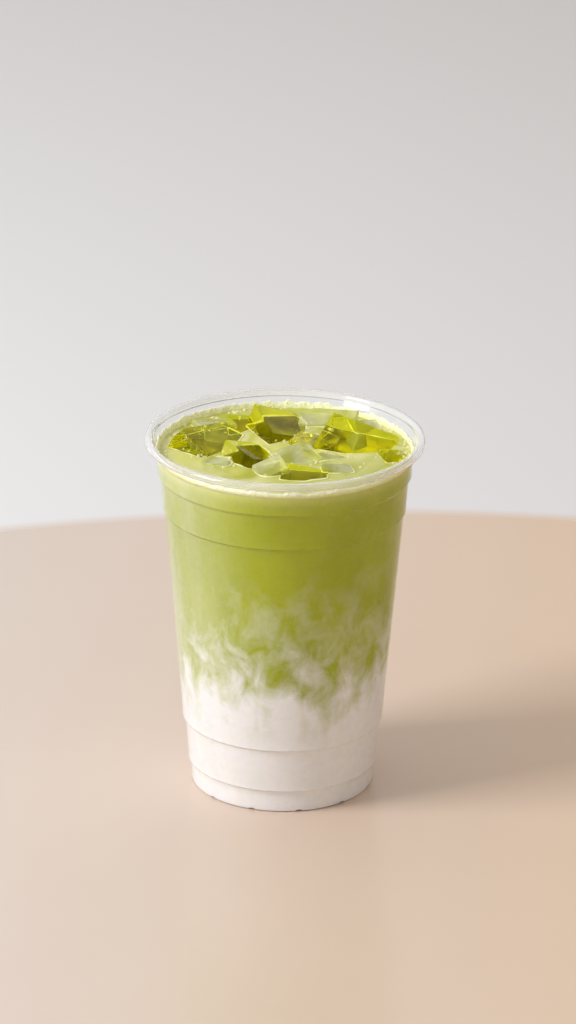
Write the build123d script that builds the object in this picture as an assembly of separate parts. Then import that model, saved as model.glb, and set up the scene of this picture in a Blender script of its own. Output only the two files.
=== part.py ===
"""Iced matcha latte in a clear, thermoformed takeaway cup.

The cup is one thin-walled piece: a notched foot ring round a raised base panel, a conical wall that
widens in four shallow moulded steps, and a lip that curls outwards into a hollow rolled rim.
Inside it stand the two layers of the drink, each a solid that fills the bore from wall to wall:
white milk below, green matcha above, up to the drink's level. Froth clings to the wall above the
level as a thin ring with an uneven upper edge. The ice that floats in the matcha is not modelled here.

Units are millimetres. The origin is the centre of the circle that the foot stands on, and +Z is up.
"""
from build123d import *

import math
import os

# ---- driving dimensions: the cup's outside -------------------------------------------------------
RIM_DIAMETER = 98.0           # over the rolled rim, the size that cold-cup lids are made for
CUP_HEIGHT = 130.0
FOOT_DIAMETER = 64.7
WALL = 0.45                   # sheet thickness, the same all over

# The moulded steps: where each starts, how tall it is, how far it leads outwards. The lower two keep
# their height above the table. The upper two belong to the lid and to stacking, so they hang from
# the rim. The plain bands between the steps share one slope, which follows from foot and rim.
FOOT_STEP = (6.2, 2.4, 1.05)
LOWER_STEP = (22.0, 3.0, 1.0)
STACK_STEP = (CUP_HEIGHT - 29.0, 2.6, 0.75)
COLLAR_STEP = (CUP_HEIGHT - 17.4, 4.2, 1.1)
STEP_ROUND = 1.3              # rounding of the two corners of a step

# ---- driving dimensions: foot and base panel -----------------------------------------------------
FOOT_ROUND = 0.9              # outer bottom corner of the foot ring
FOOT_RING_WIDTH = 3.6         # across the part of the ring that stands on the table
BASE_LIFT = 2.6               # the base panel's height above the table
BASE_SLOPE_RUN = 1.6          # how far the ring's inner side leans towards the middle
BASE_ROUND = 0.8              # rounding of the ring's inner corners
NOTCH_COUNT = 12
NOTCH_WIDTH = 3.4             # of each vent notch, where it meets the table
NOTCH_RISE = 1.0
NOTCH_FIRST_DEG = -79.0       # the first notch, measured from +X; the others follow evenly

# ---- driving dimensions: rolled rim --------------------------------------------------------------
CURL_DIAMETER = 3.0           # outside diameter of the roll
CURL_TURN_DEG = 285.0         # how far the lip is rolled round
FLARE_HEIGHT = 2.6            # the wall starts to flare this far below the middle of the roll
FLARE_STRAIGHT = 0.6          # and is upright again this far below it
FLARE_OUT = 1.3               # how far the flare leads outwards
FLARE_ROUND = 0.7

# ---- driving dimensions: drink -------------------------------------------------------------------
DRINK_DEPTH_BELOW_RIM = 6.4   # the level stands this far below the top of the rim
LAYER_HEIGHT = 50.0           # where milk gives way to matcha, above the table
SEAT_GAP = 0.05               # clearance between the drink and the cup's inner face
FROTH_HEIGHT = 3.9            # of the froth ring's highest points above the level
FROTH_THICKNESS = 0.6
DIP_COUNT = 22                # hollows between the points of its upper edge
DIP_DEPTH = 1.7               # of a middling hollow
DIP_UNEVENNESS = 0.45         # share by which the hollows' depths differ from that

PARTS = "parts"


FOOT_RADIUS = FOOT_DIAMETER / 2
FLARE_START = CUP_HEIGHT - CURL_DIAMETER / 2 - FLARE_HEIGHT
DRINK_LEVEL = CUP_HEIGHT - DRINK_DEPTH_BELOW_RIM
STEPS = (FOOT_STEP, LOWER_STEP, STACK_STEP, COLLAR_STEP)


def plain_slope():
    """How far the wall's plain bands lead outwards for each millimetre of height."""
    flare_foot = RIM_DIAMETER / 2 - CURL_DIAMETER + WALL - FLARE_OUT
    outwards = flare_foot - FOOT_RADIUS - sum(out for start, rise, out in STEPS)
    height = FLARE_START - FOOT_STEP[0] - sum(rise for start, rise, out in STEPS)
    return outwards / height


SLOPE = plain_slope()


def wall_corners():
    """Outer face of the wall as (radius, height) corners, from the foot's side up to the flare."""
    radius = FOOT_RADIUS
    height = FOOT_STEP[0]
    corners = []
    for start, rise, out in STEPS:
        radius += (start - height) * SLOPE
        corners.append((radius, start))
        radius += out
        height = start + rise
        corners.append((radius, height))
    corners.append((radius + (FLARE_START - height) * SLOPE, FLARE_START))
    return corners


WALL_CORNERS = wall_corners()
FLARE_FOOT = WALL_CORNERS[-1]


def section(inset):
    """Half of the cup's outside cross-section, moved inwards by inset, as a face right of the axis.

    It runs on above the rim, so that a caller cuts it at the height wanted.
    """
    over_top = CUP_HEIGHT + 2 * CURL_DIAMETER
    ring_inner = FOOT_RADIUS - FOOT_RING_WIDTH
    right = [
        (ring_inner - BASE_SLOPE_RUN, BASE_LIFT),
        (ring_inner, 0.0),
        (FOOT_RADIUS, 0.0),
        *WALL_CORNERS,
        (FLARE_FOOT[0] + (over_top - FLARE_START) * SLOPE, over_top),
    ]
    left = [(-radius, height) for radius, height in reversed(right)]
    with BuildSketch() as whole:
        with BuildLine():
            Polyline(*right, *left, close=True)
        make_face()
        fillet([v for v in whole.vertices() if is_at(v, right[0]) or is_at(v, right[1])], BASE_ROUND)
        fillet([v for v in whole.vertices() if is_at(v, right[2])], FOOT_ROUND)
        fillet([v for v in whole.vertices() if any(is_at(v, c) for c in WALL_CORNERS[:-1])], STEP_ROUND)
        if inset:
            offset(amount=-inset, kind=Kind.INTERSECTION, mode=Mode.REPLACE)
        with Locations((over_top, over_top)):
            Rectangle(2 * over_top, 4 * over_top, mode=Mode.INTERSECT)
    return whole.sketch


def is_at(vertex, corner):
    """Whether a vertex is at this corner, on either side of the axis."""
    return abs(abs(vertex.X) - corner[0]) < 1e-6 and abs(vertex.Y - corner[1]) < 1e-6


def turned(face):
    """The solid that a face drawn in (radius, height) makes when it is turned about Z."""
    return revolve(Plane.XZ * face, axis=Axis.Z, revolution_arc=360)


def between(face, low, high):
    """The part of a cross-section between two heights."""
    width = 4 * RIM_DIAMETER
    return face & (Pos(0, (low + high) / 2) * Rectangle(width, high - low))


def radial_rod(degrees, radius, height, inner):
    """A round rod that lies along a radius of the cup, from inner to well outside the wall."""
    rod = Cylinder(radius, RIM_DIAMETER - inner, align=(Align.CENTER, Align.CENTER, Align.MIN))
    return Rot(0, 0, degrees) * Pos(inner, 0, height) * Rot(0, 90, 0) * rod


def notches(growth):
    """The vent notches under the foot ring as rods, grown all round by growth."""
    radius = ((NOTCH_WIDTH / 2) ** 2 + NOTCH_RISE ** 2) / (2 * NOTCH_RISE)
    inner = FOOT_RADIUS - FOOT_RING_WIDTH - BASE_SLOPE_RUN
    step = 360 / NOTCH_COUNT
    rods = [
        radial_rod(NOTCH_FIRST_DEG + n * step, radius + growth, NOTCH_RISE - radius, inner)
        for n in range(NOTCH_COUNT)
    ]
    return Compound(rods)


def lip():
    """Cross-section of the flare and the roll above the wall, a strip one wall thick."""
    roll = (CURL_DIAMETER - WALL) / 2
    middle = (RIM_DIAMETER / 2 - CURL_DIAMETER / 2, CUP_HEIGHT - CURL_DIAMETER / 2)
    start = (FLARE_FOOT[0] - WALL / 2 * math.hypot(1, SLOPE), FLARE_START)
    below = (start[0] - WALL * SLOPE, start[1] - WALL)
    flare_end = (middle[0] - roll, middle[1] - FLARE_STRAIGHT)
    with BuildLine() as path:
        FilletPolyline(below, start, flare_end, (middle[0] - roll, middle[1]), radius=FLARE_ROUND)
        CenterArc(middle, roll, 180, -CURL_TURN_DEG)
    return make_face(path.wire().offset_2d(WALL / 2, kind=Kind.ARC, side=Side.BOTH, closed=True))


def cup():
    """The cup in one piece."""
    wall = between(section(0) - section(WALL), 0, FLARE_START)
    linings = (notches(WALL) - notches(0)) & turned(between(section(0), 0, CUP_HEIGHT / 2))
    return turned(wall + lip()) - notches(0) + linings


def drink(low, high):
    """The part of the drink between two heights, as wide as the bore leaves room for."""
    inset = WALL + SEAT_GAP
    return turned(between(section(inset), low, high)) - notches(inset)


def froth():
    """The froth that clings to the wall above the drink's level."""
    inset = WALL + SEAT_GAP
    top = DRINK_LEVEL + FROTH_HEIGHT
    ring = turned(between(section(inset) - section(inset + FROTH_THICKNESS), DRINK_LEVEL, top))
    half_width = math.pi * FLARE_FOOT[0] / DIP_COUNT
    for n in range(DIP_COUNT):
        depth = DIP_DEPTH * (1 + DIP_UNEVENNESS * math.sin(n * n))
        radius = (half_width ** 2 + depth ** 2) / (2 * depth)
        ring -= radial_rod(n * 360 / DIP_COUNT, radius, top - depth + radius, FOOT_RADIUS)
    return ring


def main():
    os.makedirs(PARTS, exist_ok=True)
    nodes = {
        "cup": cup(),
        "milk": drink(0, LAYER_HEIGHT),
        "matcha": drink(LAYER_HEIGHT, DRINK_LEVEL),
        "froth": froth(),
    }
    for name, shape in nodes.items():
        export_step(shape, os.path.join(PARTS, name + ".step"))
        print(name, "volume", round(shape.volume), "mm3", "solids", len(shape.solids()))


main()
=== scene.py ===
"""Iced matcha latte in a clear cup: the looks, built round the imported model."""

import math
import random

import bmesh
import bpy
from mathutils import Matrix, Vector, noise


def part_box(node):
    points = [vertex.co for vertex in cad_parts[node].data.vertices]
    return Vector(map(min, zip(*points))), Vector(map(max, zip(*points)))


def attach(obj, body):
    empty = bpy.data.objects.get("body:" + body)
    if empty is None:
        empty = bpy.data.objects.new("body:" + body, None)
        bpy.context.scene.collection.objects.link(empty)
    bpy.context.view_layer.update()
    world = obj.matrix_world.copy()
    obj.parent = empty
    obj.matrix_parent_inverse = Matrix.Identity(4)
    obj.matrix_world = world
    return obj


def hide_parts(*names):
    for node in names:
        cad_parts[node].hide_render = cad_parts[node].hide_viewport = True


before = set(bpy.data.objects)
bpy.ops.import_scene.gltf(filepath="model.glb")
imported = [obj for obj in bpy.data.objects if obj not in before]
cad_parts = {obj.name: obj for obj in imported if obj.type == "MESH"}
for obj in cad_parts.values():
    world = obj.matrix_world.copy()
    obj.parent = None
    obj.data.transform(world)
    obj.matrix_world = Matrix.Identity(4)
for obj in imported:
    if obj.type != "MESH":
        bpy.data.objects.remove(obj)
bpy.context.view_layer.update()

MM = 0.001
ROOT = "root"

# ---- sizes, in metres, as the model has them -----------------------------------------------------
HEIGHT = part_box("cup")[1][2]
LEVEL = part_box("matcha")[1][2]
RIM_RADIUS = 49.0 * MM
FOOT_RADIUS = 32.35 * MM
WALL = 0.45 * MM

# The moulded steps: where each starts, how tall it is, how far it leads outwards.
STEPS = (
    (6.2 * MM, 2.4 * MM, 1.05 * MM),
    (22.0 * MM, 3.0 * MM, 1.0 * MM),
    (HEIGHT - 29.0 * MM, 2.6 * MM, 0.75 * MM),
    (HEIGHT - 17.4 * MM, 4.2 * MM, 1.1 * MM),
)
STEP_ROUND = 0.3 * MM         # rounding of a step's corners
LEDGE_LOW = 0.3               # share of a step's outward lead below its ledge
LEDGE_START = 0.72            # share of a step's height below its ledge
BEAD = 0.14 * MM              # how far the bead on a step's upper edge stands out
BEAD_HEIGHT = 1.4 * MM

FOOT_ROUND = 0.9 * MM         # outer bottom corner of the foot ring
FOOT_RING = 3.6 * MM          # width of the foot ring
BASE_LIFT = 2.6 * MM          # the base panel's height above the table
BASE_RUN = 1.6 * MM           # how far the ring's inner side leans towards the middle
BASE_ROUND = 0.8 * MM         # rounding of the ring's inner corners
NOTCHES = 12                  # vent notches under the foot ring
NOTCH_WIDTH = 3.4 * MM
NOTCH_RISE = 1.0 * MM
NOTCH_FIRST = math.radians(-79)

CURL = 3.0 * MM               # outside diameter of the rolled rim
CURL_TURN = math.radians(285)
CURL_POINTS = 28
FLARE_HEIGHT = 2.6 * MM       # the wall starts to flare this far below the middle of the roll
FLARE_STRAIGHT = 0.6 * MM     # and is upright again this far below it
FLARE_OUT = 1.3 * MM          # how far the flare leads outwards
FLARE_START = HEIGHT - CURL / 2 - FLARE_HEIGHT

# ---- how finely things are drawn -----------------------------------------------------------------
SEGMENTS = 360                # round the cup, the drink and the froth ring
ARC_STEP = math.radians(15)   # turn between two points of a rounded corner
NEARLY_STRAIGHT = math.radians(89.5)  # half the angle of a corner too flat to round
ON_AXIS = 1e-7                # a point nearer the axis than this becomes a single vertex

# ---- the wall's cross-section --------------------------------------------------------------------


def wall_corners():
    """Outer face of the wall as (radius, height) corners, from the foot's side up to the flare."""
    flare_foot = RIM_RADIUS - CURL + WALL - FLARE_OUT
    outwards = flare_foot - FOOT_RADIUS - sum(out for start, rise, out in STEPS)
    slope = outwards / (FLARE_START - STEPS[0][0] - sum(rise for start, rise, out in STEPS))
    radius, height = FOOT_RADIUS, STEPS[0][0]
    corners = []
    for start, rise, out in STEPS:
        radius += (start - height) * slope
        corners.append((radius, start))
        corners.append((radius + out * LEDGE_LOW, start + rise * LEDGE_START))
        radius += out
        height = start + rise
        corners.append((radius + BEAD, height))
        corners.append((radius + BEAD_HEIGHT * slope, height + BEAD_HEIGHT))
    corners.append((radius + (FLARE_START - height) * slope, FLARE_START))
    return corners


def rounded(points, radii):
    """A line through points whose corners are arcs; radii has one value for each inner point."""
    line = [Vector(points[0])]
    for before, corner, after, radius in zip(points, points[1:], points[2:], radii):
        corner = Vector(corner)
        into = (Vector(before) - corner).normalized()
        out = (Vector(after) - corner).normalized()
        half = into.angle(out) / 2
        if half > NEARLY_STRAIGHT:
            line.append(corner)
            continue
        centre = corner + (into + out).normalized() * (radius / math.sin(half))
        first = corner + into * (radius / math.tan(half)) - centre
        last = corner + out * (radius / math.tan(half)) - centre
        turn = first.angle_signed(last)
        count = max(1, round(abs(turn) / ARC_STEP))
        for n in range(count + 1):
            line.append(centre + Matrix.Rotation(-turn * n / count, 2) @ first)
    line.append(Vector(points[-1]))
    return line


def inset_line(line, amount):
    """The line moved to its left side by amount, point for point."""
    moved = []
    for n, point in enumerate(line):
        along = (line[min(n + 1, len(line) - 1)] - line[max(n - 1, 0)]).normalized()
        moved.append(point + Vector((-along.y, along.x)) * amount)
    return moved


def outside_line():
    """Outer face from the middle of the base up to the flare's foot, as (radius, height) points."""
    ring_inner = FOOT_RADIUS - FOOT_RING
    corners = [
        (0.0, BASE_LIFT),
        (ring_inner - BASE_RUN, BASE_LIFT),
        (ring_inner, 0.0),
        (FOOT_RADIUS, 0.0),
        *wall_corners(),
    ]
    radii = [BASE_ROUND, BASE_ROUND, FOOT_ROUND] + [STEP_ROUND] * (4 * len(STEPS))
    return rounded(corners, radii)


def lip_line():
    """Outer face of the flare and the roll, from the flare's foot to the lip's free edge."""
    middle = Vector((RIM_RADIUS - CURL / 2, HEIGHT - CURL / 2))
    roll = CURL / 2 - WALL
    foot = wall_corners()[-1]
    below = wall_corners()[-2]
    flare = rounded(
        [below, foot, (middle.x - roll, middle.y - FLARE_STRAIGHT), (middle.x - roll, middle.y)],
        [FLARE_STRAIGHT, FLARE_STRAIGHT],
    )[1:]
    turns = [CURL_TURN * n / CURL_POINTS for n in range(1, CURL_POINTS + 1)]
    curl = [middle + Vector((-roll * math.cos(turn), roll * math.sin(turn))) for turn in turns]
    return flare + curl


def notch_lift(angle, radius, height):
    """How high the foot is lifted at this place by the vent notches."""
    pitch = 2 * math.pi / NOTCHES
    off = (angle - NOTCH_FIRST + pitch / 2) % pitch - pitch / 2
    across = abs(off) * radius
    round_radius = ((NOTCH_WIDTH / 2) ** 2 + NOTCH_RISE ** 2) / (2 * NOTCH_RISE)
    if across >= NOTCH_WIDTH / 2 or radius < FOOT_RADIUS - FOOT_RING - BASE_RUN:
        return 0.0
    roof = math.sqrt(round_radius ** 2 - across ** 2) - (round_radius - NOTCH_RISE)
    return max(0.0, roof - height)


# ---- making meshes -------------------------------------------------------------------------------


def new_piece(name, mesh, material):
    """An object of this mesh that rides on the root body."""
    piece = bpy.data.objects.new(name, mesh)
    bpy.context.scene.collection.objects.link(piece)
    mesh.materials.append(material)
    mesh.polygons.foreach_set("use_smooth", [True] * len(mesh.polygons))
    mesh.update()
    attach(piece, ROOT)
    return piece


def finished_mesh(name, bm):
    """The closed shapes of a bmesh as a mesh, their normals turned outwards. The bmesh is freed."""
    bmesh.ops.recalc_face_normals(bm, faces=bm.faces)
    mesh = bpy.data.meshes.new(name)
    bm.to_mesh(mesh)
    bm.free()
    return mesh


def turned_mesh(name, outline):
    """A mesh made by turning an outline of (radius, height) points about Z, with a notched foot.

    An end of the outline that lies on the axis becomes a single vertex.
    """
    bm = bmesh.new()
    rings = []
    for radius, height in outline:
        if radius < ON_AXIS:
            rings.append([bm.verts.new((0, 0, height))])
            continue
        ring = []
        for n in range(SEGMENTS):
            angle = 2 * math.pi * n / SEGMENTS
            up = notch_lift(angle, radius, height)
            ring.append(bm.verts.new((radius * math.cos(angle), radius * math.sin(angle), height + up)))
        rings.append(ring)
    for low, high in zip(rings, rings[1:]):
        for n in range(SEGMENTS):
            after = (n + 1) % SEGMENTS
            if len(low) == 1:
                bm.faces.new((low[0], high[after], high[n]))
            elif len(high) == 1:
                bm.faces.new((low[n], low[after], high[0]))
            else:
                bm.faces.new((low[n], low[after], high[after], high[n]))
    return finished_mesh(name, bm)


def join_rings(bm, rings):
    """Closes a row of rings into a tube that runs back into itself."""
    for n in range(len(rings)):
        here, there = rings[n], rings[(n + 1) % len(rings)]
        for k in range(len(here)):
            after = (k + 1) % len(here)
            bm.faces.new((here[k], there[k], there[after], here[after]))


# ---- materials -----------------------------------------------------------------------------------


class Nodes:
    """A material's node tree, with short calls for adding and linking nodes."""

    def __init__(self, name):
        self.material = bpy.data.materials.new(name)
        self.material.use_nodes = True
        self.tree = self.material.node_tree
        self.shader = self.tree.nodes["Principled BSDF"]
        self.output = self.tree.nodes["Material Output"]

    def add(self, kind, **inputs):
        """A new node with these inputs set or linked."""
        node = self.tree.nodes.new(kind)
        for name, value in inputs.items():
            self.feed(node.inputs[name], value)
        return node

    def feed(self, socket, value):
        """Links an output to the socket, or sets its value."""
        if isinstance(value, bpy.types.NodeSocket):
            self.tree.links.new(value, socket)
        else:
            socket.default_value = value

    def math(self, operation, first, second=0.0, clamp=False):
        """One sum on one or two numbers."""
        node = self.tree.nodes.new("ShaderNodeMath")
        node.operation = operation
        node.use_clamp = clamp
        self.feed(node.inputs[0], first)
        self.feed(node.inputs[1], second)
        return node.outputs[0]

    def length(self, across, along):
        """The length of a flat vector."""
        squares = [self.math("MULTIPLY", side, side) for side in (across, along)]
        return self.math("SQRT", self.math("ADD", *squares))

    def place(self):
        """The point being shaded, in the frame's metres."""
        return self.add("ShaderNodeTexCoord").outputs["Object"]

    def split(self, vector):
        """The X, Y and Z of a vector."""
        return self.add("ShaderNodeSeparateXYZ", Vector=vector).outputs

    def noise(self, scale, stretch=(1, 1, 1), detail=3.0, roughness=0.5, distortion=0.0):
        """Fractal noise from 0 to 1. scale is in features per metre."""
        mapping = self.add("ShaderNodeMapping", Vector=self.place(), Scale=stretch)
        node = self.add(
            "ShaderNodeTexNoise", Vector=mapping.outputs[0],
            Scale=scale, Detail=detail, Roughness=roughness, Distortion=distortion)
        return node.outputs["Fac"]

    def cells(self, scale):
        """The distance to the nearest of many scattered points, in cells."""
        return self.add("ShaderNodeTexVoronoi", Vector=self.place(), Scale=scale).outputs["Distance"]

    def curve(self, value, points):
        """A piecewise linear function of value, given as (input, output) points."""
        low, high = points[0][0], points[-1][0]
        node = self.tree.nodes.new("ShaderNodeValToRGB")
        scaled = self.math("DIVIDE", self.math("SUBTRACT", value, low), high - low, clamp=True)
        self.feed(node.inputs[0], scaled)
        ramp = node.color_ramp
        for n, (at, result) in enumerate(points):
            spot = (at - low) / (high - low)
            if n == 0:
                element = ramp.elements[0]
                element.position = spot
            elif n == len(points) - 1:
                element = ramp.elements[-1]
                element.position = spot
            else:
                element = ramp.elements.new(spot)
            element.color = (result, result, result, 1)
        return node.outputs[0]

    def blend(self, share, first, second):
        """A colour between first and second."""
        node = self.tree.nodes.new("ShaderNodeMix")
        node.data_type = "RGBA"
        self.feed(node.inputs[0], share)
        self.feed(node.inputs[6], first)
        self.feed(node.inputs[7], second)
        return node.outputs[2]

    def bump(self, height, distance, strength=1.0):
        """A normal bent by a height of 0 to 1 that stands for this distance."""
        node = self.add("ShaderNodeBump", Height=height, Distance=distance, Strength=strength)
        return node.outputs[0]

    def let_light_through(self):
        """Lamps and diffuse light pass straight through, so what is inside is lit plainly."""
        path = self.add("ShaderNodeLightPath")
        clear = self.add("ShaderNodeBsdfTransparent")
        surface = self.shader.outputs[0]
        for ray in ("Is Diffuse Ray", "Is Shadow Ray"):
            mix = self.tree.nodes.new("ShaderNodeMixShader")
            self.tree.links.new(path.outputs[ray], mix.inputs[0])
            self.tree.links.new(surface, mix.inputs[1])
            self.tree.links.new(clear.outputs[0], mix.inputs[2])
            surface = mix.outputs[0]
        self.tree.links.new(surface, self.output.inputs[0])


def colour(red, green, blue):
    """An sRGB colour of 0 to 255 as the linear colour that sockets take."""
    def linear(value):
        value /= 255
        return value / 12.92 if value <= 0.04045 else ((value + 0.055) / 1.055) ** 2.4
    return (linear(red), linear(green), linear(blue), 1.0)


MILK = colour(244, 242, 242)
MATCHA = colour(173, 182, 34)
MATCHA_DEEP = colour(158, 167, 22)
MATCHA_TOP = colour(226, 226, 120)
SPECK = colour(120, 124, 30)
# The drink's colour on the walls of the hollows under the ice, painted brighter as painted light against
# the hollows' shade.
UNDER_ICE_PAINTED_LIGHT = colour(224, 216, 12)
UNDER_ICE_PAINTED_LIGHT_DEEP = colour(160, 157, 5)
SURFACE = colour(218, 216, 142)
SURFACE_DEEP = colour(180, 184, 70)
FROTH = colour(248, 250, 212)
FROTH_DEEP = colour(238, 236, 158)
PLASTIC = (0.985, 0.99, 0.99, 1)
ICE_GREEN = (0.92, 0.92, 0.06, 1)
ICE_PALE = (0.96, 0.97, 0.5, 1)
CLOUDY_GREEN = colour(212, 216, 104)
CLOUDY_PALE = colour(242, 244, 200)
BUBBLE = colour(250, 248, 225)
BUBBLE_DEEP = colour(225, 222, 150)

WISP_STRENGTH = 3.8           # how far the mixing swings between pure milk and pure matcha
# Where the painted light under the ice goes:
HOLLOWS_REACH = 40.2 * MM     # the ice's hollows lie within this radius
HOLLOWS_DEPTH = 25 * MM       # and above this depth


def clear_plastic():
    """Clear and faintly streaked, and a little hazy towards the rolled rim."""
    m = Nodes("clear_plastic")
    s = m.shader.inputs
    s["Base Color"].default_value = PLASTIC
    s["IOR"].default_value = 1.25
    s["Coat Weight"].default_value = 0.15
    s["Coat Roughness"].default_value = 0.12
    streaks = m.noise(60, stretch=(1, 1, 0.25), detail=2)
    m.feed(s["Roughness"], m.curve(streaks, [(0.3, 0.015), (0.7, 0.05)]))
    m.feed(s["Normal"], m.bump(m.noise(90, stretch=(1, 1, 0.3), detail=1), 0.05 * MM, 0.35))
    haze = m.curve(m.split(m.place())[2], [(118 * MM, 1.0), (124 * MM, 0.93), (130 * MM, 0.88)])
    m.feed(s["Transmission Weight"], haze)
    m.let_light_through()
    return m.material


def milk_share(m, x, height):
    """How much of the drink is milk, from 0 to 1, at a height in millimetres, with the painted sheen on
    the left added in as milk.
    """
    mean = m.curve(height, [
        (27, 1.0), (34, 0.97), (40, 0.88), (45, 0.72), (50, 0.5),
        (56, 0.33), (63, 0.2), (72, 0.13), (94, 0.0)])
    unevenness = m.curve(height, [
        (27, 0.1), (33, 0.5), (40, 0.8), (50, 0.85), (60, 0.6),
        (68, 0.4), (80, 0.28), (94, 0.12), (104, 0.04)])
    wisps = m.noise(105, stretch=(1, 1, 0.8), detail=5, roughness=0.62, distortion=0.5)
    drips = m.noise(130, stretch=(1, 1, 0.2), detail=2, roughness=0.5, distortion=0.3)
    drip_share = m.curve(height, [(30, 0.6), (42, 0.4), (54, 0.2), (70, 0.1)])
    swirls = m.math("SUBTRACT", m.blend(drip_share, wisps, drips), 0.5)
    swing = m.math("MULTIPLY", swirls, WISP_STRENGTH)
    share = m.math("ADD", mean, m.math("MULTIPLY", swing, unevenness), clamp=True)
    # The painted sheen on the left whitens the drink further, as if it were milk.
    return m.math("MAXIMUM", share, painted_left_sheen(m, x, height))


def painted_left_sheen(m, x, height):
    """Painted sheen of the light from the left: the drink whitened in smears towards the left wall, most
    strongly low down, as a share of 0 to 1.
    """
    smear = m.curve(m.noise(80, stretch=(1, 1, 0.15), detail=3), [(0.3, 0.35), (0.7, 1)])
    side = m.curve(x, [(-42 * MM, 0.56), (-33 * MM, 0.4), (-10 * MM, 0)])
    low = m.curve(height, [(50, 1.6), (66, 1.35), (84, 1), (100, 0.75)])
    return m.math("MULTIPLY", m.math("MULTIPLY", side, smear), low)


def matcha_colour(m, z):
    """Patchy green with fine dark specks, paler just under the level."""
    patches = m.noise(45, stretch=(1, 1, 0.6), detail=3)
    green = m.blend(m.curve(patches, [(0.35, 0), (0.7, 1)]), MATCHA, MATCHA_DEEP)
    green = m.blend(m.curve(m.cells(260), [(0.03, 0.5), (0.07, 0)]), green, SPECK)
    top = m.curve(z, [(112 * MM, 0), (120 * MM, 0.12), (123 * MM, 0.5)])
    return m.blend(top, green, MATCHA_TOP)


def hollows_painted_light(m, x, y, depth):
    """1 on the walls of the hollows that the ice lies in, 0 on the rest of the drink. These walls take
    the drink's green as seen through the ice, painted brighter than the drink elsewhere as painted
    light, to make up for the shade in the hollows.
    """
    inside = m.curve(m.length(x, y), [(HOLLOWS_REACH, 1), (HOLLOWS_REACH + 0.4 * MM, 0)])
    under = m.curve(depth, [
        (0.3 * MM, 0), (1.2 * MM, 0.35), (3.6 * MM, 1), (HOLLOWS_DEPTH, 1), (HOLLOWS_DEPTH + MM, 0)])
    return m.math("MULTIPLY", inside, under)


def drink_material():
    """Milk below, matcha above, and wisps and tongues of one in the other between them."""
    m = Nodes("drink")
    x, y, z = m.split(m.place())
    # In millimetres, and a little higher on the right, so that the mixing starts lower there.
    height = m.math("ADD", m.math("MULTIPLY", z, 1000), m.math("MULTIPLY", x, 40))
    base = m.blend(milk_share(m, x, height), matcha_colour(m, z), MILK)
    depth = m.math("SUBTRACT", LEVEL, z)
    murk = m.curve(m.noise(95, detail=2), [(0.35, 0), (0.65, 1)])
    # Painted light: the hollows' walls under the ice get brighter colours that make up for their shade.
    base = m.blend(hollows_painted_light(m, x, y, depth), base, m.blend(murk, UNDER_ICE_PAINTED_LIGHT, UNDER_ICE_PAINTED_LIGHT_DEEP))
    facing = m.split(m.add("ShaderNodeNewGeometry").outputs["Normal"])[2]
    upward = m.curve(facing, [(0.6, 0), (0.85, 1)])
    surface = m.math("MULTIPLY", upward, m.curve(depth, [(0.1 * MM, 1), (0.5 * MM, 0)]))
    stirred = m.curve(m.noise(42, detail=2, distortion=1.2), [(0.35, 0), (0.65, 1)])
    s = m.shader.inputs
    m.feed(s["Base Color"], m.blend(surface, base, m.blend(stirred, SURFACE, SURFACE_DEEP)))
    gloss = m.curve(m.noise(300), [(0.3, 0.22), (0.7, 0.34)])
    m.feed(s["Roughness"], m.math("SUBTRACT", gloss, m.math("MULTIPLY", surface, 0.12)))
    s["Specular IOR Level"].default_value = 0.3
    s["Subsurface Weight"].default_value = 0.25
    s["Subsurface Radius"].default_value = (1.0, 0.9, 0.4)
    s["Subsurface Scale"].default_value = 2.5 * MM
    return m.material


def froth_material():
    """Fine pale foam, wetter and yellower towards the level."""
    m = Nodes("froth")
    tone = m.noise(250, detail=4)
    height = m.math("SUBTRACT", m.split(m.place())[2], LEVEL)
    deep = m.math("SUBTRACT", 1.0, m.curve(height, [(0.0, 0), (0.5 * MM, 0.3), (1.6 * MM, 1)]))
    s = m.shader.inputs
    spread = m.math("MULTIPLY", m.curve(tone, [(0.3, 0.5), (0.7, 1.3)]), deep, clamp=True)
    m.feed(s["Base Color"], m.blend(spread, FROTH, FROTH_DEEP))
    m.feed(s["Roughness"], m.curve(tone, [(0.3, 0.4), (0.7, 0.6)]))
    m.feed(s["Normal"], m.bump(m.cells(900), 0.25 * MM, 0.8))
    s["Subsurface Weight"].default_value = 0.3
    s["Subsurface Radius"].default_value = (1.0, 0.9, 0.5)
    s["Subsurface Scale"].default_value = 1.0 * MM
    return m.material


def ice_material():
    """Clear ice, tinted by the drink that wets it."""
    m = Nodes("ice")
    s = m.shader.inputs
    clear = m.curve(m.noise(48, detail=1), [(0.56, 0), (0.64, 1)])
    m.feed(s["Base Color"], m.blend(clear, ICE_GREEN, ICE_PALE))
    s["Transmission Weight"].default_value = 1.0
    s["IOR"].default_value = 1.14
    m.feed(s["Roughness"], m.curve(m.noise(140, detail=3), [(0.5, 0.005), (0.75, 0.08)]))
    m.feed(s["Normal"], m.bump(m.noise(80, detail=2), 0.3 * MM, 0.25))
    m.let_light_through()
    return m.material


def cloudy_material():
    """Ice full of fine bubbles: pale, and only half clear."""
    m = Nodes("cloudy_ice")
    s = m.shader.inputs
    veins = m.curve(m.noise(110, detail=4, distortion=0.8), [(0.38, 0), (0.62, 1)])
    m.feed(s["Base Color"], m.blend(veins, CLOUDY_GREEN, CLOUDY_PALE))
    s["Transmission Weight"].default_value = 0.6
    s["IOR"].default_value = 1.25
    m.feed(s["Roughness"], m.curve(veins, [(0, 0.04), (1, 0.2)]))
    m.feed(s["Normal"], m.bump(m.noise(120, detail=3), 0.3 * MM, 0.4))
    m.let_light_through()
    return m.material


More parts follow.
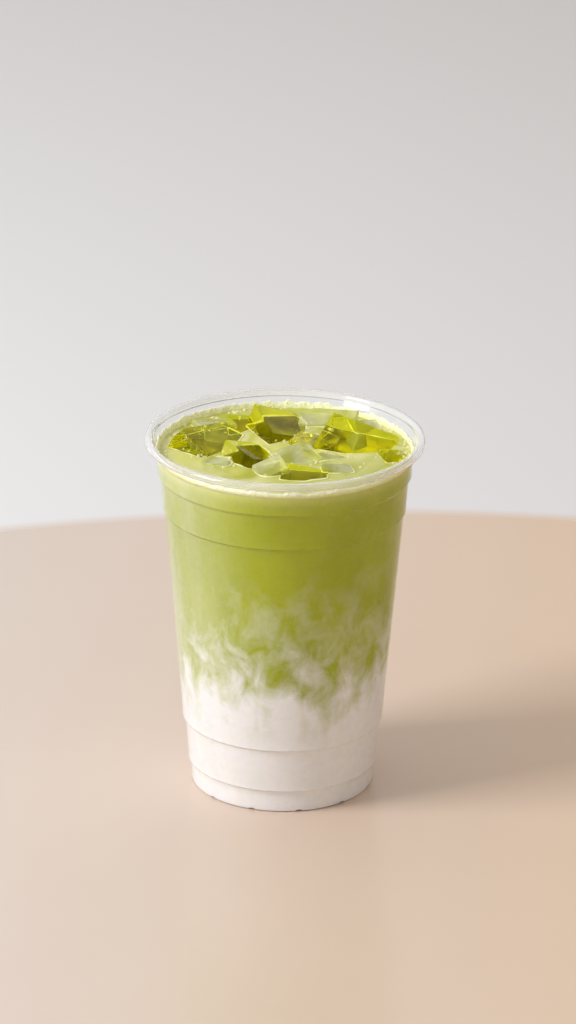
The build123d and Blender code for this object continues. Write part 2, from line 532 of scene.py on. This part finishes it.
def bubble_material():
    """The thin pale skin of a bubble."""
    m = Nodes("bubbles")
    s = m.shader.inputs
    tone = m.noise(400)
    m.feed(s["Base Color"], m.blend(tone, BUBBLE, BUBBLE_DEEP))
    s["Transmission Weight"].default_value = 0.35
    s["IOR"].default_value = 1.15
    m.feed(s["Roughness"], m.curve(tone, [(0.3, 0.05), (0.7, 0.2)]))
    m.let_light_through()
    return m.material


# ---- the cup -------------------------------------------------------------------------------------


def make_cup():
    """The wall, one sheet thick from the base panel to the free edge of the roll."""
    outer = outside_line()[:-1] + lip_line()
    inner = inset_line(outer, WALL)
    inner[0].x = 0.0
    mesh = turned_mesh("cup_wall", outer + inner[::-1])
    piece = new_piece("cup_wall", mesh, clear_plastic())
    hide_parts("cup")


# ---- ice -----------------------------------------------------------------------------------------

# Each piece, in millimetres and degrees: its middle across, back and above the level, its size, and
# its turns about X, Y and Z.
CLEAR_ICE = (
    ((-27.0, 8.5, -2.6), (26, 15, 12), (26, 12, 52)),
    ((-15.5, 24.0, -4.6), (12, 15, 11), (8, 6, 8)),
    ((-1.5, 22.0, -2.8), (21, 18, 13), (24, 14, 33)),
    ((9.5, 10.5, -4.6), (15, 14, 11), (-3, 9, -18)),
    ((-12.5, -6.0, -3.0), (16, 15, 12), (16, 14, 40)),
    ((6.5, -24.0, -3.8), (17, 9, 10), (9, 7, -4)),
    ((24.9, 8.2, -2.8), (25, 17, 13), (17, 10, -16)),
    ((37.0, -4.5, -3.2), (8, 11, 10), (-8, 12, 12)),
)
CLOUDY_ICE = (
    ((-25.5, 24.0, -3.2), (14, 12, 10), (-14, 12, 25)),
    ((15.0, 30.3, -2.2), (20, 9, 10), (14, 4, -8)),
    ((4.0, -5.0, -3.6), (16, 13, 11), (17, -10, 26)),
    ((-4.5, -18.0, -2.6), (11, 9, 11), (24, -16, 20)),
    ((16.5, -6.0, -4.4), (13, 8, 9), (12, 10, -14)),
    ((20.0, -17.0, -3.9), (16, 8, 9), (-8, 8, 6)),
    ((27.5, 22.5, -3.4), (12, 10, 10), (12, 8, 32)),
    ((-24.0, -9.5, -3.7), (13, 7, 9), (12, -10, -32)),
)
ICE = CLEAR_ICE + CLOUDY_ICE
ICE_EDGE = 0.6 * MM           # rounding of a piece's edges
ICE_TILT = 0.13               # how far a piece's sides lean from square
ICE_CHIP = 0.8                # where a chipped corner is cut, as a share of the way to the corner
ICE_CLEARANCE = 0.06 * MM     # how much larger a piece's hollow in the drink is, all round
FLAT_AREA = 4 * MM * MM       # larger sides of a piece are shaded flat
COLLAR_SIDES = 8              # round the tube of froth at a piece's waterline
COLLAR_STEP = 0.45 * MM       # along it


def all_of(bm):
    return bm.verts[:] + bm.edges[:] + bm.faces[:]


def edges_of(cut):
    """The edges that a cut with a plane has made."""
    return [item for item in cut["geom_cut"] if isinstance(item, bmesh.types.BMEdge)]


def ice_planes(size, grow, draw):
    """The planes that bound a piece of ice, as (point, outward normal)."""
    half = Vector(size) * (MM / 2) + Vector((grow, grow, grow))
    planes = []
    for axis in range(3):
        for side in (-1, 1):
            facing = Vector([draw.uniform(-ICE_TILT, ICE_TILT) for n in range(3)])
            facing[axis] = side
            at = Vector()
            at[axis] = side * half[axis]
            planes.append((at, facing.normalized()))
    chip = Vector([draw.choice((-1, 1)) for n in range(2)] + [1])
    corner = Vector([half[n] * chip[n] for n in range(3)])
    planes.append((corner * ICE_CHIP, chip.normalized()))
    return planes


def ice_block(middle, size, turns, grow, seed):
    """One melted ice cube: flat sides a little out of square, one chipped corner, round edges."""
    block = bmesh.new()
    bmesh.ops.create_cube(block, size=4 * max(size) * MM)
    for at, facing in ice_planes(size, grow, random.Random(seed)):
        cut = bmesh.ops.bisect_plane(
            block, geom=all_of(block), plane_co=at, plane_no=facing, clear_outer=True)
        bmesh.ops.edgeloop_fill(block, edges=edges_of(cut))
    bmesh.ops.bevel(block, geom=block.edges[:], offset=ICE_EDGE, segments=3, profile=0.5, affect="EDGES")
    turn = Matrix.Rotation(math.radians(turns[2]), 4, "Z")
    turn = turn @ Matrix.Rotation(math.radians(turns[1]), 4, "Y")
    turn = turn @ Matrix.Rotation(math.radians(turns[0]), 4, "X")
    block.transform(Matrix.Translation(Vector(middle) * MM + Vector((0, 0, LEVEL))) @ turn)
    return block


def ice_blocks(pieces, grow):
    """These pieces of ice, grown all round. A piece has the same shape each time."""
    return [ice_block(*piece, grow, ICE.index(piece)) for piece in pieces]


def joined_mesh(name, parts):
    """One mesh of all these bmeshes, which are freed."""
    bm = bmesh.new()
    for part in parts:
        single = bpy.data.meshes.new("single")
        part.to_mesh(single)
        part.free()
        bm.from_mesh(single)
        bpy.data.meshes.remove(single)
    return finished_mesh(name, bm)


def make_ice(name, pieces, material):
    """Pieces of ice whose large sides are flat and whose round edges are smooth."""
    piece = new_piece(name, joined_mesh(name, ice_blocks(pieces, 0.0)), material)
    sides = piece.data.polygons
    sides.foreach_set("use_smooth", [side.area < FLAT_AREA for side in sides])


def waterline(block):
    """The closed line in which a block meets the drink's surface, as points in order."""
    cut = bmesh.ops.bisect_plane(block, geom=all_of(block), plane_co=(0, 0, LEVEL), plane_no=(0, 0, 1))
    edges = edges_of(cut)
    edge = edges.pop()
    first, here = edge.verts
    line = [first.co.copy(), here.co.copy()]
    while True:
        following = next((other for other in edges if here in other.verts), None)
        if following is None:
            return line[:-1]
        edges.remove(following)
        here = following.other_vert(here)
        line.append(here.co.copy())


def spaced(line, step):
    """Points at even steps along a closed line."""
    closed = line + line[:1]
    lengths = [(b - a).length for a, b in zip(closed, closed[1:])]
    total = sum(lengths)
    count = round(total / step)
    points = []
    for n in range(count):
        rest = total * n / count
        for (a, b), length in zip(zip(closed, closed[1:]), lengths):
            if rest <= length:
                points.append(a.lerp(b, rest / length))
                break
            rest -= length
    return points


def collar_ring(bm, point, along, seed, wall):
    """One ring of a collar's tube, thicker where froth has gathered, and kept inside the wall."""
    out = Vector((along.y, -along.x, 0))
    lumps = noise.noise(point * 260 + Vector((seed, 0, 0)))
    patches = noise.noise(point * 90 + Vector((0, seed, 5)))
    wide = max(0.06, 0.16 + 0.8 * patches + 0.25 * lumps) * MM
    tall = max(0.05, 0.12 + 0.35 * patches + 0.2 * lumps) * MM
    ring = []
    for k in range(COLLAR_SIDES):
        angle = 2 * math.pi * k / COLLAR_SIDES
        spot = point + out * math.cos(angle) * wide + Vector((0, 0, math.sin(angle) * tall))
        reach = math.hypot(spot.x, spot.y)
        if reach > wall:
            spot.xy = spot.xy * (wall / reach)
        ring.append(bm.verts.new(spot))
    return ring


def make_collars():
    """Froth that gathers along the waterline of each piece of ice."""
    bm = bmesh.new()
    wall = wall_corners()[-1][0] - WALL
    for seed, block in enumerate(ice_blocks(ICE, 0.0)):
        line = spaced(waterline(block), COLLAR_STEP)
        block.free()
        rings = []
        for n, point in enumerate(line):
            along = (line[(n + 1) % len(line)] - line[n - 1]).normalized()
            rings.append(collar_ring(bm, point, along, seed, wall))
        join_rings(bm, rings)
    new_piece("froth_collars", finished_mesh("froth_collars", bm), froth_material())


# ---- the drink -----------------------------------------------------------------------------------

DRINK_INSET = 0.3 * MM        # the drink's skin lies inside the wall's thickness
SHORTEST = 0.03 * MM          # shorter steps of the drink's outline are left out
SIDE_STEP = 2.5 * MM          # longest step up the drink's side
SURFACE_RINGS = 40
RING_CROWDING = 1.4           # above 1, the surface's rings crowd towards the wall
MENISCUS_RISE = 0.7 * MM
MENISCUS_REACH = 1.2 * MM
SHARP = math.radians(35)      # a steeper bend between two faces stays an edge


def meniscus(radius):
    """How far the surface climbs towards the wall."""
    wall = wall_corners()[-1][0]
    return MENISCUS_RISE * math.exp((radius - wall) / MENISCUS_REACH)


def hollow_out(piece, block):
    """Cuts the shape of block out of the piece's mesh."""
    cutter = bpy.data.objects.new("cutter", joined_mesh("cutter", [block]))
    bpy.context.scene.collection.objects.link(cutter)
    cut = piece.modifiers.new("cut", "BOOLEAN")
    cut.operation = "DIFFERENCE"
    cut.solver = "MANIFOLD"
    cut.object = cutter
    depsgraph = bpy.context.evaluated_depsgraph_get()
    result = bpy.data.meshes.new_from_object(piece.evaluated_get(depsgraph))
    piece.modifiers.clear()
    piece.data = result
    bpy.data.objects.remove(cutter)


def drink_outline():
    """The drink's skin from the middle of the base up the side and in over the surface."""
    line = inset_line(outside_line(), DRINK_INSET)
    line[0].x = 0.0
    side = [point for point in line if point.y < LEVEL]
    above = next(point for point in line if point.y >= LEVEL)
    share = (LEVEL - side[-1].y) / (above.y - side[-1].y)
    edge = side[-1].lerp(above, share)
    side.append(edge)
    dense = []
    for first, second in zip(side, side[1:]):
        reach = (second - first).length
        cuts = 0 if reach < SHORTEST else max(1, round(reach / SIDE_STEP))
        dense += [first.lerp(second, n / cuts) for n in range(cuts)]
    top = []
    for n in range(SURFACE_RINGS, 0, -1):
        radius = edge.x * (1 - ((SURFACE_RINGS - n) / SURFACE_RINGS) ** RING_CROWDING)
        top.append(Vector((radius, LEVEL + meniscus(radius))))
    top.append(Vector((0.0, LEVEL)))
    return dense + top


def make_drink():
    """Both layers in one piece, with a hollow for each piece of ice."""
    mesh = turned_mesh("drink", drink_outline())
    piece = new_piece("drink", mesh, drink_material())
    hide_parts("matcha", "milk")
    for block in ice_blocks(ICE, ICE_CLEARANCE):
        hollow_out(piece, block)
    piece.data.set_sharp_from_angle(angle=SHARP)


# ---- froth and bubbles ---------------------------------------------------------------------------

FROTH_ROWS = 9                # points up the ring's inner face
FROTH_FOOT = 0.3 * MM         # how far the ring reaches below the level
FROTH_SEAT = 0.12 * MM        # and into the wall
FROTH_ROUGH = 0.12 * MM       # how uneven its inner face is
THICK_SIDE = math.radians(130)  # where the ring is thickest and highest
WALL_BUBBLES = 150            # scattered along the wall
FROTH_BUBBLES = 260           # small ones on the froth ring
ICE_BUBBLES = 7               # beside each piece of ice
BUBBLY_SIDE = math.radians(125)  # where most of those on the froth ring are
BUBBLE_SPREAD = math.radians(70)


def heading(angle):
    """The level direction at this angle from +X."""
    return Vector((math.cos(angle), math.sin(angle), 0))


def froth_section(around, back, wall_at):
    """Points round the froth ring's cross-section at one place, as (radius, height)."""
    ragged = noise.fractal(around * 9, 1.0, 2.0, 4)
    spikes = max(0.0, noise.noise(around * 26)) * 1.6
    top = (1.7 + 0.8 * back + 0.8 * ragged + 0.7 * spikes) * MM
    thick = (0.3 + 0.3 * back + 0.2 * noise.noise(around * 14)) * MM
    section = []
    for row in range(FROTH_ROWS):
        share = row / (FROTH_ROWS - 1)
        height = LEVEL - FROTH_FOOT + share * (top + FROTH_FOOT)
        bulge = thick * math.sqrt(max(0.0, 1 - share ** 2)) * (1.6 - share)
        rough = noise.noise(Vector((around.x * 45, around.y * 45, height * 900))) * FROTH_ROUGH
        section.append((wall_at(height) - FROTH_SEAT - bulge - rough * (1 - share), height))
    section.append((wall_at(LEVEL + top), LEVEL + top))
    section.append((wall_at(LEVEL - FROTH_FOOT), LEVEL - FROTH_FOOT))
    return section


def make_froth():
    """Froth that clings to the wall above the level, thickest at the back left."""
    bm = bmesh.new()
    low, high = wall_corners()[-2:]
    slope = (high[0] - low[0]) / (high[1] - low[1])

    def wall_at(height):
        return low[0] + (height - low[1]) * slope - WALL + FROTH_SEAT

    rings = []
    for n in range(SEGMENTS):
        angle = 2 * math.pi * n / SEGMENTS
        around = heading(angle)
        back = 0.5 + 0.5 * math.cos(angle - THICK_SIDE)
        section = froth_section(around, back, wall_at)
        rings.append([bm.verts.new((r * around.x, r * around.y, h)) for r, h in section])
    join_rings(bm, rings)
    piece = new_piece("froth_ring", finished_mesh("froth_ring", bm), froth_material())
    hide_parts("froth")


def bubble_spots(draw, wall):
    """Where the bubbles are, measured from the middle of the surface, and their radii."""
    spots = []
    for n in range(WALL_BUBBLES):
        angle = draw.uniform(0, 2 * math.pi)
        size = draw.uniform(0.3, 0.9) * MM
        spots.append((heading(angle) * (wall - size - abs(draw.gauss(0, 1.6)) * MM), size))
    for n in range(FROTH_BUBBLES):
        angle = draw.gauss(BUBBLY_SIDE, BUBBLE_SPREAD)
        size = draw.uniform(0.12, 0.36) * MM
        up = abs(draw.gauss(0, 1.1)) * MM
        spot = heading(angle) * (wall - 0.35 * MM - 0.3 * size)
        spots.append((spot + Vector((0, 0, up)), size))
    for middle, size, turns in ICE:
        for n in range(ICE_BUBBLES):
            angle = draw.uniform(0, 2 * math.pi)
            reach = 0.5 * max(size[:2]) * draw.uniform(0.8, 1.25) * MM
            at = Vector((middle[0], middle[1], 0)) * MM + heading(angle) * reach
            if at.length < wall - MM:
                spots.append((at, draw.uniform(0.25, 0.8) * MM))
    return spots


def make_bubbles():
    """Bubbles along the wall, on the froth ring and in clusters beside the ice."""
    bm = bmesh.new()
    wall = wall_corners()[-1][0] - WALL
    for at, size in bubble_spots(random.Random(11), wall):
        place = Matrix.Translation(at + Vector((0, 0, LEVEL + 0.1 * size)))
        bmesh.ops.create_icosphere(bm, subdivisions=2, radius=size, matrix=place)
    new_piece("bubbles", finished_mesh("bubbles", bm), bubble_material())


# ---- the room ------------------------------------------------------------------------------------

# A warm round table top round the cup, and pale grey beyond it, in one level floor. Both are painted
# lighter on the left, where the light comes from, and darker on the right, as painted light and shade;
# the table's right is also painted warmer, as painted warm shade.
TABLE_MIDDLE = (0.04, -0.258)
TABLE_RADIUS = 0.513
TABLE_EDGE = 0.009            # how softly the table top gives way to grey
TABLE_LEFT_PAINTED_LIGHT = (colour(217, 203, 194), colour(215, 200, 191))
TABLE_RIGHT_PAINTED_SHADE = (colour(222, 195, 169), colour(220, 192, 166))
GREY_LEFT_PAINTED_LIGHT = colour(236, 237, 241)
GREY_RIGHT_PAINTED_SHADE = colour(218, 216, 218)
FLOOR_HALF = 6.0

BACKGROUND = colour(225, 222, 222)
LIGHT_LEFT = (1.14, 1.12, 1.10, 1)
LIGHT_RIGHT = (0.86, 0.77, 0.66, 1)
LIGHT_STRENGTH = 0.53

CAMERA_DOWN = 0.3744          # how far the camera looks down, in radians
CAMERA_ROLL = 0.0094
CAMERA_AT = (1.25 * MM, -1632.4 * MM, 742.5 * MM)
SENSOR = 36.0
LENS = 175.78125


def floor_material():
    m = Nodes("floor")
    x, y, z = m.split(m.place())
    across = m.math("SUBTRACT", x, TABLE_MIDDLE[0])
    along = m.math("SUBTRACT", y, TABLE_MIDDLE[1])
    beyond = m.curve(m.length(across, along), [(TABLE_RADIUS, 0.0), (TABLE_RADIUS + TABLE_EDGE, 1.0)])
    soft = m.curve(m.noise(9, detail=3), [(0.3, 0), (0.7, 1)])
    left = m.blend(soft, *TABLE_LEFT_PAINTED_LIGHT)
    right = m.blend(soft, *TABLE_RIGHT_PAINTED_SHADE)
    # Painted light and shade: the table top is painted paler and cooler on the left, warmer and darker
    # on the right.
    table_tone_and_painted_shade = m.blend(m.curve(x, [(-0.12, 0), (0.14, 1)]), left, right)
    # The grey beyond is painted lighter on the left and darker on the right, as painted light and shade.
    grey = m.blend(m.curve(x, [(-0.5, 0), (0.5, 1)]), GREY_LEFT_PAINTED_LIGHT, GREY_RIGHT_PAINTED_SHADE)
    s = m.shader.inputs
    m.feed(s["Base Color"], m.blend(beyond, table_tone_and_painted_shade, grey))
    m.feed(s["Roughness"], m.curve(beyond, [(0, 0.24), (1, 0.9)]))
    s["Specular IOR Level"].default_value = 0.4
    return m.material


def make_floor():
    bm = bmesh.new()
    bmesh.ops.create_grid(bm, x_segments=1, y_segments=1, size=FLOOR_HALF)
    mesh = bpy.data.meshes.new("floor")
    bm.to_mesh(mesh)
    bm.free()
    floor = bpy.data.objects.new("floor", mesh)
    bpy.context.scene.collection.objects.link(floor)
    mesh.materials.append(floor_material())


def make_world():
    """A plain pale background, and light that is brighter and cooler on the left."""
    world = bpy.data.worlds.new("room")
    bpy.context.scene.world = world
    world.use_nodes = True
    tree = world.node_tree
    tree.nodes.clear()
    path = tree.nodes.new("ShaderNodeLightPath")
    seen = tree.nodes.new("ShaderNodeBackground")
    seen.inputs[0].default_value = BACKGROUND
    towards = tree.nodes.new("ShaderNodeTexCoord")
    axes = tree.nodes.new("ShaderNodeSeparateXYZ")
    tree.links.new(towards.outputs["Generated"], axes.inputs[0])
    across = tree.nodes.new("ShaderNodeMapRange")
    across.inputs["From Min"].default_value = -1
    tree.links.new(axes.outputs[0], across.inputs[0])
    tint = tree.nodes.new("ShaderNodeMix")
    tint.data_type = "RGBA"
    tint.inputs[6].default_value = LIGHT_LEFT
    tint.inputs[7].default_value = LIGHT_RIGHT
    tree.links.new(across.outputs[0], tint.inputs[0])
    lighting = tree.nodes.new("ShaderNodeBackground")
    tree.links.new(tint.outputs[2], lighting.inputs[0])
    lighting.inputs[1].default_value = LIGHT_STRENGTH
    surface = lighting.outputs[0]
    for ray in ("Is Transmission Ray", "Is Glossy Ray", "Is Camera Ray"):
        mix = tree.nodes.new("ShaderNodeMixShader")
        tree.links.new(path.outputs[ray], mix.inputs[0])
        tree.links.new(surface, mix.inputs[1])
        tree.links.new(seen.outputs[0], mix.inputs[2])
        surface = mix.outputs[0]
    output = tree.nodes.new("ShaderNodeOutputWorld")
    tree.links.new(surface, output.inputs[0])


def area_lamp(name, at, size, power, tint):
    """A square lamp that faces the middle of the cup."""
    data = bpy.data.lights.new(name, "AREA")
    data.shape = "SQUARE"
    data.size = size
    data.energy = power
    data.color = tint
    lamp = bpy.data.objects.new(name, data)
    bpy.context.scene.collection.objects.link(lamp)
    lamp.location = at
    target = Vector((0, 0, HEIGHT / 2))
    lamp.rotation_euler = (target - Vector(at)).to_track_quat("-Z", "Y").to_euler()


def make_camera():
    """Looks down on the front from a little under two metres, with a slight roll."""
    data = bpy.data.cameras.new("camera")
    data.sensor_width = SENSOR
    data.lens = LENS
    camera = bpy.data.objects.new("camera", data)
    bpy.context.scene.collection.objects.link(camera)
    right = Vector((1, 0, 0))
    forward = Vector((0, math.cos(CAMERA_DOWN), -math.sin(CAMERA_DOWN)))
    up = Vector((0, math.sin(CAMERA_DOWN), math.cos(CAMERA_DOWN)))
    across = math.cos(CAMERA_ROLL) * right + math.sin(CAMERA_ROLL) * up
    upward = math.cos(CAMERA_ROLL) * up - math.sin(CAMERA_ROLL) * right
    turn = Matrix((across, upward, -forward)).transposed().to_4x4()
    camera.matrix_world = Matrix.Translation(CAMERA_AT) @ turn
    bpy.context.scene.camera = camera


make_camera()
make_cup()
make_drink()
make_ice("clear_ice", CLEAR_ICE, ice_material())
make_ice("cloudy_ice", CLOUDY_ICE, cloudy_material())
make_collars()
make_froth()
make_bubbles()
make_floor()
make_world()
area_lamp("key", at=(-1.21, -0.41, 0.98), size=0.6, power=19, tint=(0.97, 0.99, 1.0))
area_lamp("top", at=(-0.1, 0.4, 1.5), size=1.2, power=3, tint=(1.0, 0.99, 0.97))

scene = bpy.context.scene
scene.view_settings.view_transform = "Standard"
scene.cycles.use_denoising = True
scene.cycles.max_bounces = 32
scene.cycles.transmission_bounces = 32
scene.cycles.transparent_max_bounces = 24
